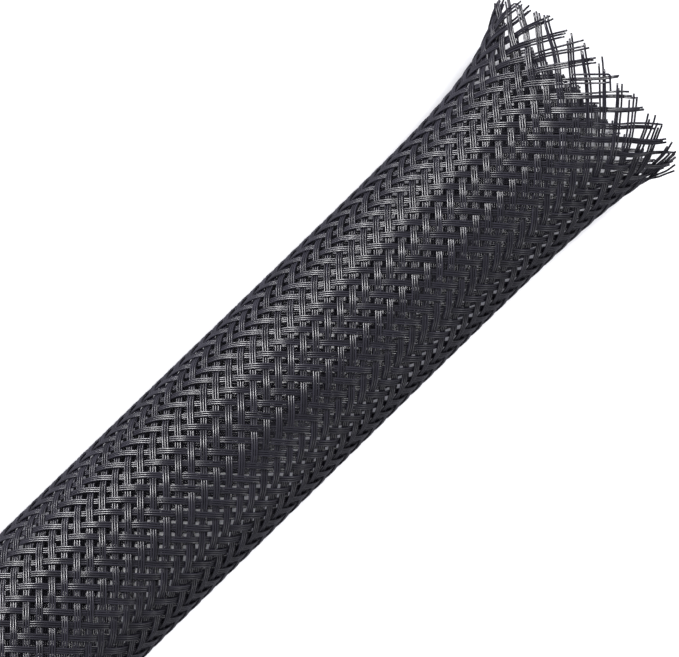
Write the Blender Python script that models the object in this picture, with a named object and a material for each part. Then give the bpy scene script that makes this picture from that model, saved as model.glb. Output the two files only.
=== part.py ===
# Braided cable sleeve
# One cut length of open braid, made of black polyester filaments. It lies along X on the floor,
# z = 0, with its flared, frayed mouth towards +X and a clean cut at the other end.
# The weave along the body is too fine for a solid. A coarse grid of diamonds stands for it there,
# and leaves the same share of the wall open. In the mouth the strands stand far enough apart to be
# modelled one by one, as a net of diamonds that ends in strand tips.
# The origin is the middle of the bottom of the whole sleeve's box.

import math

import bmesh
import bpy

# Driving dimensions, in metres
LENGTH = 0.305          # cut end to strand tips
BODY_WIDTH = 0.0254     # outside, level
BODY_DEPTH = 0.0224     # outside, upright: the sleeve lies a little flattened
WALL = 0.0006           # two filaments, one arching over the other
MOUTH_WIDTH = 0.03285   # outside, at the strand tips
MOUTH_DEPTH = 0.0290    # outside, at the strand tips
MOUTH_LEAN = 0.0013     # how far the mouth is pulled towards +Y of the body
FLARE_LENGTH = 0.0072   # from the tips inwards, over which the flare falls to 37% of its spread

STRANDS = 30            # each way round the sleeve
STRAND_WIDTH = 0.00088  # three filaments side by side, a little apart
BODY_PITCH = 0.00119    # from one row of crossings to the next, in the body's real weave
MOUTH_PITCH = 0.0013    # the same, in the mouth
MOUTH_ROWS = 7          # rows of diamonds in the mouth: the last is open towards the tips
TIP_LENGTH = 0.0009     # of the strand ends past their last crossing, along the sleeve

GRID_ROUND = 10         # diamonds of the coarse grid, round the body
GRID_ALONG = 12         # and along it
END_BAND = 0.002        # plain wall left at both ends of the grid

ARC_STEPS = 360         # for measuring round an oval

COLOUR = (0.016, 0.015, 0.021, 1.0)
ROUGHNESS = 0.32

# Numbers and places worked out from them
COLUMNS = 2 * STRANDS
GRID_ROWS = 2 * GRID_ALONG - 1
X_CUT = -LENGTH / 2
X_TIPS = LENGTH / 2
X_MOUTH = X_TIPS - TIP_LENGTH - MOUTH_ROWS * MOUTH_PITCH
X_WAIST = X_MOUTH - MOUTH_PITCH
X_COLLAR = X_CUT + END_BAND / 2
X_GRID = X_CUT + END_BAND
GRID_PITCH = (X_WAIST - END_BAND - X_GRID) / (GRID_ROWS + 1)


def openness(x):
    """Next to 0 along the body, rising to 1 at the strand tips."""
    return math.exp((x - X_TIPS) / FLARE_LENGTH)


def half_sizes(x):
    """Half the outside width and half the outside depth of the section at x."""
    t = openness(x)
    half_width = (BODY_WIDTH + (MOUTH_WIDTH - BODY_WIDTH) * t) / 2
    half_depth = (BODY_DEPTH + (MOUTH_DEPTH - BODY_DEPTH) * t) / 2
    return half_width, half_depth


def turn_at(x, column):
    """Angle of a column about the oval at x, from its lowest point, with the columns evenly spaced.
    Column 0 and the last one stand half a space to either side of that point."""
    half_width, half_depth = half_sizes(x)
    even = math.tau * (column + 0.5) / COLUMNS
    return even - (half_width - half_depth) / (half_width + half_depth) * math.sin(2 * even) / 2


def corner(x, column):
    """Outside corner of the section at x, whose lowest facet lies on the floor."""
    half_width, half_depth = half_sizes(x)
    turn = turn_at(x, column)
    centre_y = MOUTH_LEAN * (openness(x) - 1)
    centre_z = half_depth * math.cos(turn_at(x, 0))
    return (x, centre_y + half_width * math.sin(turn), centre_z - half_depth * math.cos(turn))


def girth(x):
    """Length round the outside at x."""
    half_width, half_depth = half_sizes(x)
    step = math.tau / ARC_STEPS
    turns = (step * (i + 0.5) for i in range(ARC_STEPS))
    return step * sum(math.hypot(half_width * math.cos(t), half_depth * math.sin(t)) for t in turns)


class Net:
    """A stretch of the outside that is open in rows of diamonds, each row half a diamond round from
    the one before. Row 0 lies just before the first. Diamonds stand where row plus column is odd,
    and bars cross where it is even. Each corner is made once and found again by its name."""

    def __init__(self, bm, columns, rows, x_start, pitch, weave_pitch):
        self.bm = bm
        self.columns = columns
        self.rows = rows
        self.x_start = x_start
        self.pitch = pitch
        self.weave_pitch = weave_pitch
        self.verts = {}

    def x(self, row):
        return self.x_start + row * self.pitch

    def on_wall(self, row, column):
        """Point of the outside, which can lie between rows and columns."""
        per_column = COLUMNS // self.columns
        low = math.floor(column)
        share = column - low
        a, b = (corner(self.x(row), per_column * c + per_column // 2) for c in (low, low + 1))
        return tuple(a[i] + share * (b[i] - a[i]) for i in range(3))

    def open_share(self, row):
        """How much of the way across a diamond the real strands leave open there."""
        across = girth(self.x(row)) / COLUMNS
        spacing = 2 * across * self.weave_pitch / math.hypot(across, self.weave_pitch)
        return 1 - STRAND_WIDTH / spacing

    def at(self, name, row, column):
        if name not in self.verts:
            self.verts[name] = self.bm.verts.new(self.on_wall(row, column))
        return self.verts[name]

    def plain(self, row, column):
        return self.at(("plain", row, column % self.columns), row, column)

    def low(self, row, column):
        """Lowest corner of the diamond at this row and column."""
        return self.at(("low", row, column % self.columns), row - self.open_share(row), column)

    def high(self, row, column):
        return self.at(("high", row, column % self.columns), row + self.open_share(row), column)

    def left(self, row, column):
        return self.at(("left", row, column % self.columns), row, column - self.open_share(row))

    def right(self, row, column):
        return self.at(("right", row, column % self.columns), row, column + self.open_share(row))

    def face(self, *corners):
        self.bm.faces.new(corners)

    def first_edge(self):
        """Corners round the start of the net, where plain wall meets it."""
        return [self.plain(0, c) if c % 2 else self.low(1, c) for c in range(self.columns)]

    def last_edge(self):
        """Corners round the end of a net that plain wall follows."""
        end = self.rows + 1
        return [self.plain(end, c) if c % 2 else self.high(self.rows, c) for c in range(self.columns)]


def add_bars(net, wall_follows):
    """Bars of a net, with the pads where they cross. The net ends in plain wall or in notches."""
    for c in range(0, net.columns, 2):
        net.face(net.low(1, c), net.left(1, c), net.plain(0, c - 1))
        net.face(net.low(1, c), net.plain(0, c + 1), net.right(1, c))
        if wall_follows:
            end = net.rows + 1
            net.face(net.high(net.rows, c), net.plain(end, c - 1), net.left(net.rows, c))
            net.face(net.high(net.rows, c), net.right(net.rows, c), net.plain(end, c + 1))
    for row in range(1, net.rows + 1):
        is_last = row == net.rows
        for c in range(row % 2, net.columns, 2):
            below = net.plain(0, c) if row == 1 else net.high(row - 1, c)
            above = net.plain(row + 1, c) if is_last and wall_follows else net.low(row + 1, c)
            net.face(below, net.left(row, c + 1), above)
            net.face(below, above, net.right(row, c - 1))
            if not is_last:
                net.face(net.left(row, c + 1), net.high(row, c + 1), net.right(row + 1, c), above)
                net.face(net.right(row, c - 1), above, net.left(row + 1, c), net.high(row, c - 1))


def add_tips(net):
    """The two strand ends past each last crossing, still running on along their own strands."""
    share = net.open_share(net.rows)
    crotch_row = net.rows + 1 - net.open_share(net.rows + 1)
    reach = TIP_LENGTH / net.pitch - (crotch_row - net.rows)
    for c in range(net.rows % 2, net.columns, 2):
        crotch = net.low(net.rows + 1, c)
        for side, root in ((1, net.left(net.rows, c + 1)), (-1, net.right(net.rows, c - 1))):
            outer_column = c + side * (1 - share + reach)
            outer = net.at(("outer", c, side), net.rows + reach, outer_column)
            inner = net.at(("inner", c, side), crotch_row + reach, c + side * reach)
            corners = (root, outer, inner, crotch)
            net.face(*corners[::side])


def add_plain_wall(net, edge, ring, way):
    """Wall between an edge and a ring that lies ahead of it, or behind where way is -1."""
    per_column = len(ring) // len(edge)
    middle = per_column // 2
    for c, here in enumerate(edge):
        there = edge[(c + 1) % len(edge)]
        for i in range(per_column):
            a, b = (ring[(per_column * c + middle + j) % len(ring)] for j in (i, i + 1))
            on_edge = [here] * (i <= middle) + [there] * (i >= middle)
            corners = on_edge + [b, a]
            net.face(*corners[::way])


def filament_material():
    material = bpy.data.materials.new("black_polyester")
    material.use_nodes = True
    shader = material.node_tree.nodes["Principled BSDF"]
    shader.inputs["Base Color"].default_value = COLOUR
    shader.inputs["Roughness"].default_value = ROUGHNESS
    shader.inputs["Metallic"].default_value = 0.0
    return material


def braided_sleeve():
    """The outside as one sheet, thickened inwards by the wall."""
    bm = bmesh.new()
    grid = Net(bm, 2 * GRID_ROUND, GRID_ROWS, X_GRID, GRID_PITCH, BODY_PITCH)
    mouth = Net(bm, COLUMNS, MOUTH_ROWS, X_MOUTH, MOUTH_PITCH, MOUTH_PITCH)
    places = (X_CUT, X_COLLAR, X_WAIST)
    cut, collar, waist = ([bm.verts.new(corner(x, c)) for c in range(COLUMNS)] for x in places)
    add_plain_wall(grid, collar, cut, -1)
    add_plain_wall(grid, grid.first_edge(), collar, -1)
    add_bars(grid, wall_follows=True)
    add_plain_wall(grid, grid.last_edge(), waist, 1)
    add_plain_wall(mouth, mouth.first_edge(), waist, -1)
    add_bars(mouth, wall_follows=False)
    add_tips(mouth)
    mesh = bpy.data.meshes.new("braided_sleeve")
    bm.to_mesh(mesh)
    bm.free()
    mesh.shade_smooth()
    mesh.set_sharp_from_angle(angle=math.radians(40))
    mesh.materials.append(filament_material())
    sleeve = bpy.data.objects.new("braided_sleeve", mesh)
    wall = sleeve.modifiers.new("wall", "SOLIDIFY")
    wall.thickness = WALL
    wall.offset = -1
    bpy.context.scene.collection.objects.link(sleeve)


for old in list(bpy.data.objects):
    bpy.data.objects.remove(old, do_unlink=True)
braided_sleeve()
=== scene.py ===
import math

import bpy
import numpy as np
from mathutils import Matrix, Vector


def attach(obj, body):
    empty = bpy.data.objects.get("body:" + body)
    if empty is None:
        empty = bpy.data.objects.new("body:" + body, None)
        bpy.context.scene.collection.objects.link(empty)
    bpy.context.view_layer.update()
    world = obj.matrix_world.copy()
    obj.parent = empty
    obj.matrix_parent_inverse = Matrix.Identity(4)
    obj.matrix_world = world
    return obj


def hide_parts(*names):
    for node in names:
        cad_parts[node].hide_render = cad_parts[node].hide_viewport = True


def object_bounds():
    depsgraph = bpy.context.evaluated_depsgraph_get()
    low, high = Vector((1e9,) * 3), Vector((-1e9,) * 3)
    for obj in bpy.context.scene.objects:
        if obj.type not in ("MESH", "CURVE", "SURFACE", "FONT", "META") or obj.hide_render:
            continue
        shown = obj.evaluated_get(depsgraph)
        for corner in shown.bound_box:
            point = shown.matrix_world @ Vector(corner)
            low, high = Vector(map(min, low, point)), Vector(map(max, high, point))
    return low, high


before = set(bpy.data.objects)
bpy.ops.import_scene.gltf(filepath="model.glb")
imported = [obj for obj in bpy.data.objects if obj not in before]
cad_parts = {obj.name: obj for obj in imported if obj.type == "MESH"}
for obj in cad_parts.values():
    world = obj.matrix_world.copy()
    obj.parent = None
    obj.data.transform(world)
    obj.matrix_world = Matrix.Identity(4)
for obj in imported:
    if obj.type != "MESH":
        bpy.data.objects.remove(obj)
cad_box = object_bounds()

# The right-hand strands.
# Thirty strands wind round the sleeve like a right-hand thread, each of three drawn black polyester
# filaments side by side. Each passes over two left-hand strands and under the next two. Only the
# braid holds them: it lies a little flattened on the floor, and has sprung open where it was cut.
STRANDS = 30
PIECES = 3                      # that each direction is made in, of ten strands each
FILAMENTS = 3                   # of one strand
COLUMNS = 2 * STRANDS           # crossings round the sleeve, of two neighbouring rows together
X_CUT = cad_box[0].x
X_TIPS = 0.1525                 # usual place of the strand tips
BODY_SIZE = (0.0254, 0.0224)    # outside, level and upright
MOUTH_SIZE = (0.03285, 0.0290)
MOUTH_LEAN = 0.0013             # of the mouth's middle towards +Y
FLARE_LENGTH = 0.0072           # from the tips inwards, over which the flare falls to 37%
RIM_SLANT = 0.0008              # the rim reaches this far out on the -Y side, and back on the other
RIM_DIP = 0.0004                # it stands this far back along the top and the bottom
RIM_FOOT = 0.0026               # where it rests on the floor it reaches this much further out
ROW_LEAD = 0.0009               # all rows of crossings are ahead by this much along the bottom
CUT_REACH = 0.005               # over which that lead dies out near the cut end
WALL_MIDDLE = 0.00034           # under the outside
FILAMENT_RADIUS = 0.00015
FILAMENT_SIDES = 5
RIGHT_HAND_SPACING = 0.00029    # between the filaments of a strand
SPLAY = 0.12                    # share that the spacing grows by at the tips
FLOAT_RISE = 0.0002             # of a strand from the wall's middle to where it passes over
FLOAT_COLUMN = 1.5              # a right-hand strand is outermost there, and every fourth column on
FLATNESS = 0.8                  # of that pass: 0 is a plain wave
COLUMN_SHIFT = 0.25             # turns the braid, so that its back shows between its front strands
BODY_PITCH = 0.001174           # between rows of crossings, along the body
ROWS_LOST = 0.56                # in the mouth, where the rows stand further apart
MOUTH_REACH = 0.006             # from the rim, over which most of them are lost
RIM_TO_TIPS = 0.0009            # the last crossings lie this far inside the tips
LONGEST_TIP = 0.0007            # of a filament, past the tips' usual place
SHORTEST_TIP = 0.0003           # short of it
DRIFT = 0.05                    # of a strand round the sleeve, in columns
DRIFT_LENGTHS = (0.012, 0.03, 0.07)
WAVER = 0.00001                 # of a filament beside its neighbours
WAVER_LENGTHS = (0.006, 0.02)
FREE_LENGTH = 0.008             # of the strands at the mouth, which little holds in place
FREE_DRIFT = 0.12               # of such a strand round the sleeve, in columns
FREE_RISE = 0.0002              # of such a strand off the cloth
FREE_LIFT = 0.00008             # of one of its filaments
FREE_SPREAD = 0.00006           # of one of its filaments from the next
FINE_PITCH, PLAIN_PITCH = 0.00047, 0.00079      # between rings of a filament
FINE_LENGTH = 0.115             # of the stretch with the fine rings, from the tips


def outside(x, column):
    """Points of the sleeve's outside. Columns are evenly spaced and start at the lowest line."""
    t = np.exp((x - X_TIPS) / FLARE_LENGTH)
    a, b = ((body + (mouth - body) * t) / 2 for body, mouth in zip(BODY_SIZE, MOUTH_SIZE))
    even = math.tau * (column + 0.5) / COLUMNS
    turn = even - (a - b) / (a + b) * np.sin(2 * even) / 2
    bottom = np.clip(np.cos(turn), 0, 1) ** 2
    reach = (-RIM_SLANT * np.sin(turn) - RIM_DIP * np.cos(turn) ** 2) * t
    reach = reach + (RIM_FOOT * np.sqrt(t) + ROW_LEAD * np.tanh((x - X_CUT) / CUT_REACH)) * bottom
    return np.stack([x + reach, MOUTH_LEAN * (t - 1) + a * np.sin(turn), b - b * np.cos(turn)], -1)


def unit(vectors):
    return vectors / np.linalg.norm(vectors, axis=-1, keepdims=True)


def outward(x, column):
    """Normals of the outside."""
    step_x, step_column = 2e-5, 0.02
    along = outside(x + step_x, column) - outside(x - step_x, column)
    round_it = outside(x, column + step_column) - outside(x, column - step_column)
    return unit(np.cross(round_it, along))


def rows_from_rim(d):
    """How many rows of crossings lie between the rim and a distance from the tips."""
    s = d - RIM_TO_TIPS
    return s / BODY_PITCH - ROWS_LOST * (1 - np.exp(-s / MOUTH_REACH))


def wave(column):
    """1 where a right-hand strand lies outermost, -1 where it lies innermost."""
    swing = np.tanh(FLATNESS * np.cos(math.tau / 4 * (column - FLOAT_COLUMN)))
    return swing / math.tanh(FLATNESS)


def wander(rng, count, s, lengths, size):
    """Slow random drift at the distances s, one row for each of count strands or filaments."""
    total = np.zeros((count,) + s.shape[-1:])
    for length in lengths:
        phase = rng.uniform(0, math.tau, (count, 1))
        stretch = rng.uniform(0.8, 1.25, (count, 1))
        total += rng.normal(0, 1, (count, 1)) * np.sin(math.tau * s * stretch / length + phase)
    return total * size / math.sqrt(len(lengths))


def filament_paths(rng, direction, strands, spacing):
    """Middle line and frame of each filament of some strands of one direction."""
    count = len(strands) * FILAMENTS
    strand = np.repeat(strands, FILAMENTS)[:, None]
    place = np.tile(np.arange(FILAMENTS) - (FILAMENTS - 1) / 2, len(strands))[:, None]
    length = X_TIPS - X_CUT
    fine = np.linspace(0, FINE_LENGTH, round(FINE_LENGTH / FINE_PITCH), endpoint=False)
    plain = np.linspace(FINE_LENGTH, length, round((length - FINE_LENGTH) / PLAIN_PITCH))
    steps = np.concatenate([fine, plain]) / length

    tip = rng.uniform(-LONGEST_TIP, SHORTEST_TIP, (count, 1))
    d = tip + (length - tip) * steps
    x = X_TIPS - d
    free = np.clip(1 - d / FREE_LENGTH, 0, 1) ** 2

    drift = np.repeat(wander(rng, len(strands), d[0], DRIFT_LENGTHS, DRIFT), FILAMENTS, 0)
    column = 2 * strand - direction * rows_from_rim(d) + drift
    column = column + free * np.repeat(rng.normal(0, FREE_DRIFT, (len(strands), 1)), FILAMENTS, 0)
    rise = direction * wave(column) * FLOAT_RISE
    column = column + COLUMN_SHIFT
    normal = outward(x, column)
    rise = rise + free * np.repeat(rng.normal(0, FREE_RISE, (len(strands), 1)), FILAMENTS, 0)
    middle = outside(x, column) - (WALL_MIDDLE - rise)[..., None] * normal
    ahead = unit(np.gradient(middle, axis=1))
    aside = unit(np.cross(normal, ahead))

    apart = spacing * (1 + SPLAY * free) * place
    apart = apart + wander(rng, count, d[0], WAVER_LENGTHS, WAVER)
    apart = apart + free * rng.normal(0, FREE_SPREAD, (count, 1)) * (1 + place * place)
    middle = middle + apart[..., None] * aside
    middle = middle + (free * rng.normal(0, FREE_LIFT, (count, 1)))[..., None] * normal
    middle[..., 2] = np.maximum(middle[..., 2], FILAMENT_RADIUS)
    ahead = unit(np.gradient(middle, axis=1))
    up = unit(normal - np.sum(normal * ahead, -1, keepdims=True) * ahead)
    return middle, ahead, up


def tubes(name, middle, ahead, up, tone, cut=True):
    """One mesh of closed round tubes, one for each row of middle, with a tone for each. Where cut is
    true they end level with the cut. Their UV map runs along each tube in metres, and once round
    it from its inner side."""
    count, rings, _ = middle.shape
    side = np.cross(up, ahead)
    turn = np.arange(FILAMENT_SIDES) * math.tau / FILAMENT_SIDES - math.pi / 2
    ring = (np.cos(turn)[:, None] * side[:, :, None, :] + np.sin(turn)[:, None] * up[:, :, None, :])
    verts = middle[:, :, None, :] + FILAMENT_RADIUS * ring
    if cut:
        last = verts[:, -1]
        pull = (X_CUT - last[..., 0]) / ahead[:, -1, None, 0]
        verts[:, -1] = last + pull[..., None] * ahead[:, -1, None, :]

    n = FILAMENT_SIDES
    start = (np.arange(count) * rings * n)[:, None, None]
    ring_at = (np.arange(rings - 1) * n)[None, :, None]
    k = np.arange(n)[None, None, :]
    nxt = (k + 1) % n
    quads = np.stack([start + ring_at + k, start + ring_at + n + k,
                      start + ring_at + n + nxt, start + ring_at + nxt], -1).reshape(-1, 4)
    near_caps = start[:, 0] + np.arange(n)[None, :]
    far_caps = start[:, 0] + (rings - 1) * n + np.arange(n)[None, ::-1]
    caps = np.concatenate([near_caps, far_caps])
    corners = np.concatenate([quads.ravel(), caps.ravel()])
    sizes = np.concatenate([np.full(len(quads), 4), np.full(len(caps), n)])

    run = np.cumsum(np.linalg.norm(np.diff(middle, axis=1, prepend=middle[:, :1]), axis=-1), axis=1)
    run = np.repeat(run + np.arange(count)[:, None], n)
    around = np.tile(np.arange(n) / n, count * rings)
    uv = np.stack([run[corners], around[corners]], -1)
    closing = np.zeros((len(quads), 4), bool)
    closing.reshape(-1, n, 4)[:, n - 1, 2:] = True
    uv[:closing.size, 1] += closing.ravel()

    mesh = bpy.data.meshes.new(name)
    mesh.vertices.add(verts.size // 3)
    mesh.vertices.foreach_set("co", verts.ravel())
    mesh.loops.add(len(corners))
    mesh.loops.foreach_set("vertex_index", corners.astype(np.int32))
    mesh.polygons.add(len(sizes))
    mesh.polygons.foreach_set("loop_start", (np.cumsum(sizes) - sizes).astype(np.int32))
    smooth = np.ones(len(sizes), bool)
    smooth[len(quads):] = False
    mesh.polygons.foreach_set("use_smooth", smooth)
    mesh.update(calc_edges=True)
    mesh.uv_layers.new(name="run").uv.foreach_set("vector", uv.astype(np.float32).ravel())
    shade = mesh.attributes.new("tone", "FLOAT", "POINT")
    shade.data.foreach_set("value", np.repeat(tone, rings * n).astype(np.float32))
    piece = bpy.data.objects.new(name, mesh)
    bpy.context.scene.collection.objects.link(piece)
    return piece


def filament_material():
    """Black drawn polyester: glossy, with faint lengthwise die lines, and not all alike."""
    material = bpy.data.materials.new("black_filament")
    material.use_nodes = True
    nodes, links = material.node_tree.nodes, material.node_tree.links
    shader = nodes["Principled BSDF"]
    shader.inputs["IOR"].default_value = 1.57

    run = nodes.new("ShaderNodeUVMap")
    run.uv_map = "run"
    stretch = nodes.new("ShaderNodeMapping")
    stretch.inputs["Scale"].default_value = (180, 9, 1)     # a metre along, and once round
    lines = nodes.new("ShaderNodeTexNoise")
    lines.inputs["Scale"].default_value = 1
    lines.inputs["Detail"].default_value = 2
    links.new(run.outputs["UV"], stretch.inputs["Vector"])
    links.new(stretch.outputs["Vector"], lines.inputs["Vector"])

    tone = nodes.new("ShaderNodeAttribute")
    tone.attribute_name = "tone"
    colour = nodes.new("ShaderNodeValToRGB")
    colour.color_ramp.elements[0].color = (0.007, 0.0065, 0.010, 1)
    colour.color_ramp.elements[1].color = (0.016, 0.015, 0.022, 1)
    links.new(tone.outputs["Fac"], colour.inputs["Fac"])
    links.new(colour.outputs["Color"], shader.inputs["Base Color"])

    gloss = nodes.new("ShaderNodeMapRange")
    gloss.inputs["From Min"].default_value = 0.3
    gloss.inputs["From Max"].default_value = 0.7
    gloss.inputs["To Min"].default_value = 0.24
    gloss.inputs["To Max"].default_value = 0.29
    links.new(lines.outputs["Fac"], gloss.inputs["Value"])
    links.new(gloss.outputs["Result"], shader.inputs["Roughness"])
    bump = nodes.new("ShaderNodeBump")
    bump.inputs["Strength"].default_value = 0.06
    bump.inputs["Distance"].default_value = 0.000006
    links.new(lines.outputs["Fac"], bump.inputs["Height"])
    links.new(bump.outputs["Normal"], shader.inputs["Normal"])
    return material


def add_strands(way, direction, spacing, seed):
    """All strands of one direction: 1 for right-hand, -1 for left-hand."""
    rng = np.random.default_rng(seed)
    for group in range(PIECES):
        strands = np.arange(group * STRANDS // PIECES, (group + 1) * STRANDS // PIECES)
        middle, ahead, up = filament_paths(rng, direction, strands, spacing)
        tone = rng.uniform(0, 1, len(middle))
        piece = tubes(f"{way}_strands_{group + 1}", middle, ahead, up, tone)
        piece.data.materials.append(black_filament)
        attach(piece, "root")
        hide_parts("braided_sleeve")


black_filament = filament_material()
add_strands("right_hand", 1, RIGHT_HAND_SPACING, 41)

# The left-hand strands.
# Thirty more of the same filament wind the other way, like a left-hand thread. They lie outermost
# where the right-hand ones lie innermost, and their filaments lie a little further apart.
LEFT_HAND_SPACING = 0.00033
add_strands("left_hand", -1, LEFT_HAND_SPACING, 39)

# The strays.
# Three filaments have come out of the weave at the mouth: two stand off its -Y edge in a slack bow,
# and one on top of the rim is kinked at a right angle.
STRAY_RINGS = 60
STRAYS = (
    ((0.14888, -0.01507, 0.01450),
     (0.15058, -0.01566, 0.01460),
     (0.15112, -0.01625, 0.01500),
     (0.15211, -0.01658, 0.01550),
     (0.15272, -0.01695, 0.01600),
     (0.15300, -0.01711, 0.01650)),
    ((0.14945, -0.01534, 0.01500),
     (0.15065, -0.01568, 0.01580),
     (0.15158, -0.01612, 0.01650),
     (0.15223, -0.01646, 0.01680),
     (0.15292, -0.01648, 0.01680),
     (0.15368, -0.01660, 0.01650)),
    ((0.14875, 0.00202, 0.02820),
     (0.15040, 0.00036, 0.02880),
     (0.15238, -0.00150, 0.02890),
     (0.15098, -0.00318, 0.02830)),
)
SOFTENING = (60, 60, 6)         # rounds of it for each: the kink stays sharp
STRAY_TONES = (0.5, 0.2, 0.7)   # from the darkest black of the filament to its lightest


def stray_path(points, rounds):
    """A filament bent through the points, its corners softened."""
    points = np.array(points)
    run = np.concatenate([[0], np.cumsum(np.linalg.norm(np.diff(points, axis=0), axis=1))])
    even = np.linspace(0, run[-1], STRAY_RINGS)
    path = np.stack([np.interp(even, run, points[:, i]) for i in range(3)], 1)
    for _ in range(rounds):
        path[1:-1] = (path[:-2] + 2 * path[1:-1] + path[2:]) / 4
    return path


middle = np.stack([stray_path(points, rounds) for points, rounds in zip(STRAYS, SOFTENING)])
ahead = unit(np.gradient(middle, axis=1))
up = unit(np.array([0, 0, 1]) - ahead[..., 2:] * ahead)
strays = tubes("stray_filaments", middle, ahead, up, np.array(STRAY_TONES), cut=False)
strays.data.materials.append(black_filament)
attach(strays, "root")
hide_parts("braided_sleeve")

# The floor.
# A wide plain sheet of smooth pale board, that the sleeve lies on. It is kept out of reflections,
# because its glare would turn the black filaments grey.
bpy.ops.mesh.primitive_plane_add(size=12)
floor = bpy.context.object
floor.name = "floor"
floor_material = bpy.data.materials.new("pale_board")
floor_material.use_nodes = True
floor_shader = floor_material.node_tree.nodes["Principled BSDF"]
floor_shader.inputs["Base Color"].default_value = (0.86, 0.86, 0.87, 1)
floor_shader.inputs["Roughness"].default_value = 0.6
floor.data.materials.append(floor_material)
floor.visible_glossy = False

# The camera.
# It looks down on the sleeve from far off, over its closed stretch and a little towards the mouth.
BACK_TILT = math.radians(12)    # from straight down
SLANT = math.radians(44.2)      # of the sleeve in the picture, above level
DISTANCE = 0.65
PICTURE_WIDTH = 0.0922          # that the frame takes in at the sleeve
AIM = np.array([0.1052, -0.00066, 0.0112])      # at the middle of the picture
SENSOR = 36.0                   # millimetres

down = np.array([math.sin(BACK_TILT), 0, -math.cos(BACK_TILT)])
along = np.array([math.cos(BACK_TILT), 0, math.sin(BACK_TILT)])
across = np.array([0.0, -1.0, 0.0])
right = math.cos(SLANT) * along + math.sin(SLANT) * across
top = math.sin(SLANT) * along - math.cos(SLANT) * across
camera = bpy.data.objects.new("camera", bpy.data.cameras.new("camera"))
bpy.context.scene.collection.objects.link(camera)
camera.data.sensor_width = SENSOR
camera.data.lens = SENSOR * DISTANCE / PICTURE_WIDTH
place = AIM - DISTANCE * down
camera.matrix_world = Matrix([[*row, p] for row, p in zip(np.stack([right, top, -down], 1), place)]
                             + [[0, 0, 0, 1]])
camera.data.clip_start, camera.data.clip_end = 0.01, 50
bpy.context.scene.camera = camera

# The lights.
# A soft box on the +Y side makes the long highlight on the sleeve, and two low ones light its sides.
# They leave out the board, which has a long strip of its own overhead, so that it stays white with
# hardly a shadow. The room fills the rest.
world = bpy.data.worlds.new("room")
world.use_nodes = True
world.node_tree.nodes["Background"].inputs["Color"].default_value = (0.88, 0.88, 1.0, 1)
world.node_tree.nodes["Background"].inputs["Strength"].default_value = 0.4
bpy.context.scene.world = world


def soft_box(name, direction, distance, size, watts, board):
    """A light aimed at the sleeve, which lights only the board, or all but the board."""
    lamp = bpy.data.objects.new(name, bpy.data.lights.new(name, "AREA"))
    bpy.context.scene.collection.objects.link(lamp)
    lamp.data.shape = "RECTANGLE"
    lamp.data.size, lamp.data.size_y = size
    lamp.data.energy = watts
    towards = np.array(direction) / np.linalg.norm(direction)
    lamp.location = AIM + towards * distance
    lamp.rotation_euler = Vector(-towards).to_track_quat("-Z", "Y").to_euler()
    lit = bpy.data.collections.new(name + "_receivers")
    lit.objects.link(floor)
    lit.collection_objects[0].light_linking.link_state = board
    lamp.light_linking.receiver_collection = lit


soft_box("key_box", (-0.06, 0.65, 0.76), 1.2, (0.42, 0.42), 32, "EXCLUDE")
soft_box("side_box", (0.1, 0.95, 0.12), 1.0, (0.3, 0.3), 6, "EXCLUDE")
soft_box("far_side_box", (0.1, -0.95, 0.12), 1.0, (0.3, 0.3), 1.5, "EXCLUDE")
soft_box("board_light", (0, 0, 1), 1.6, (3, 0.4), 58, "INCLUDE")

bpy.context.scene.view_settings.view_transform = "Standard"
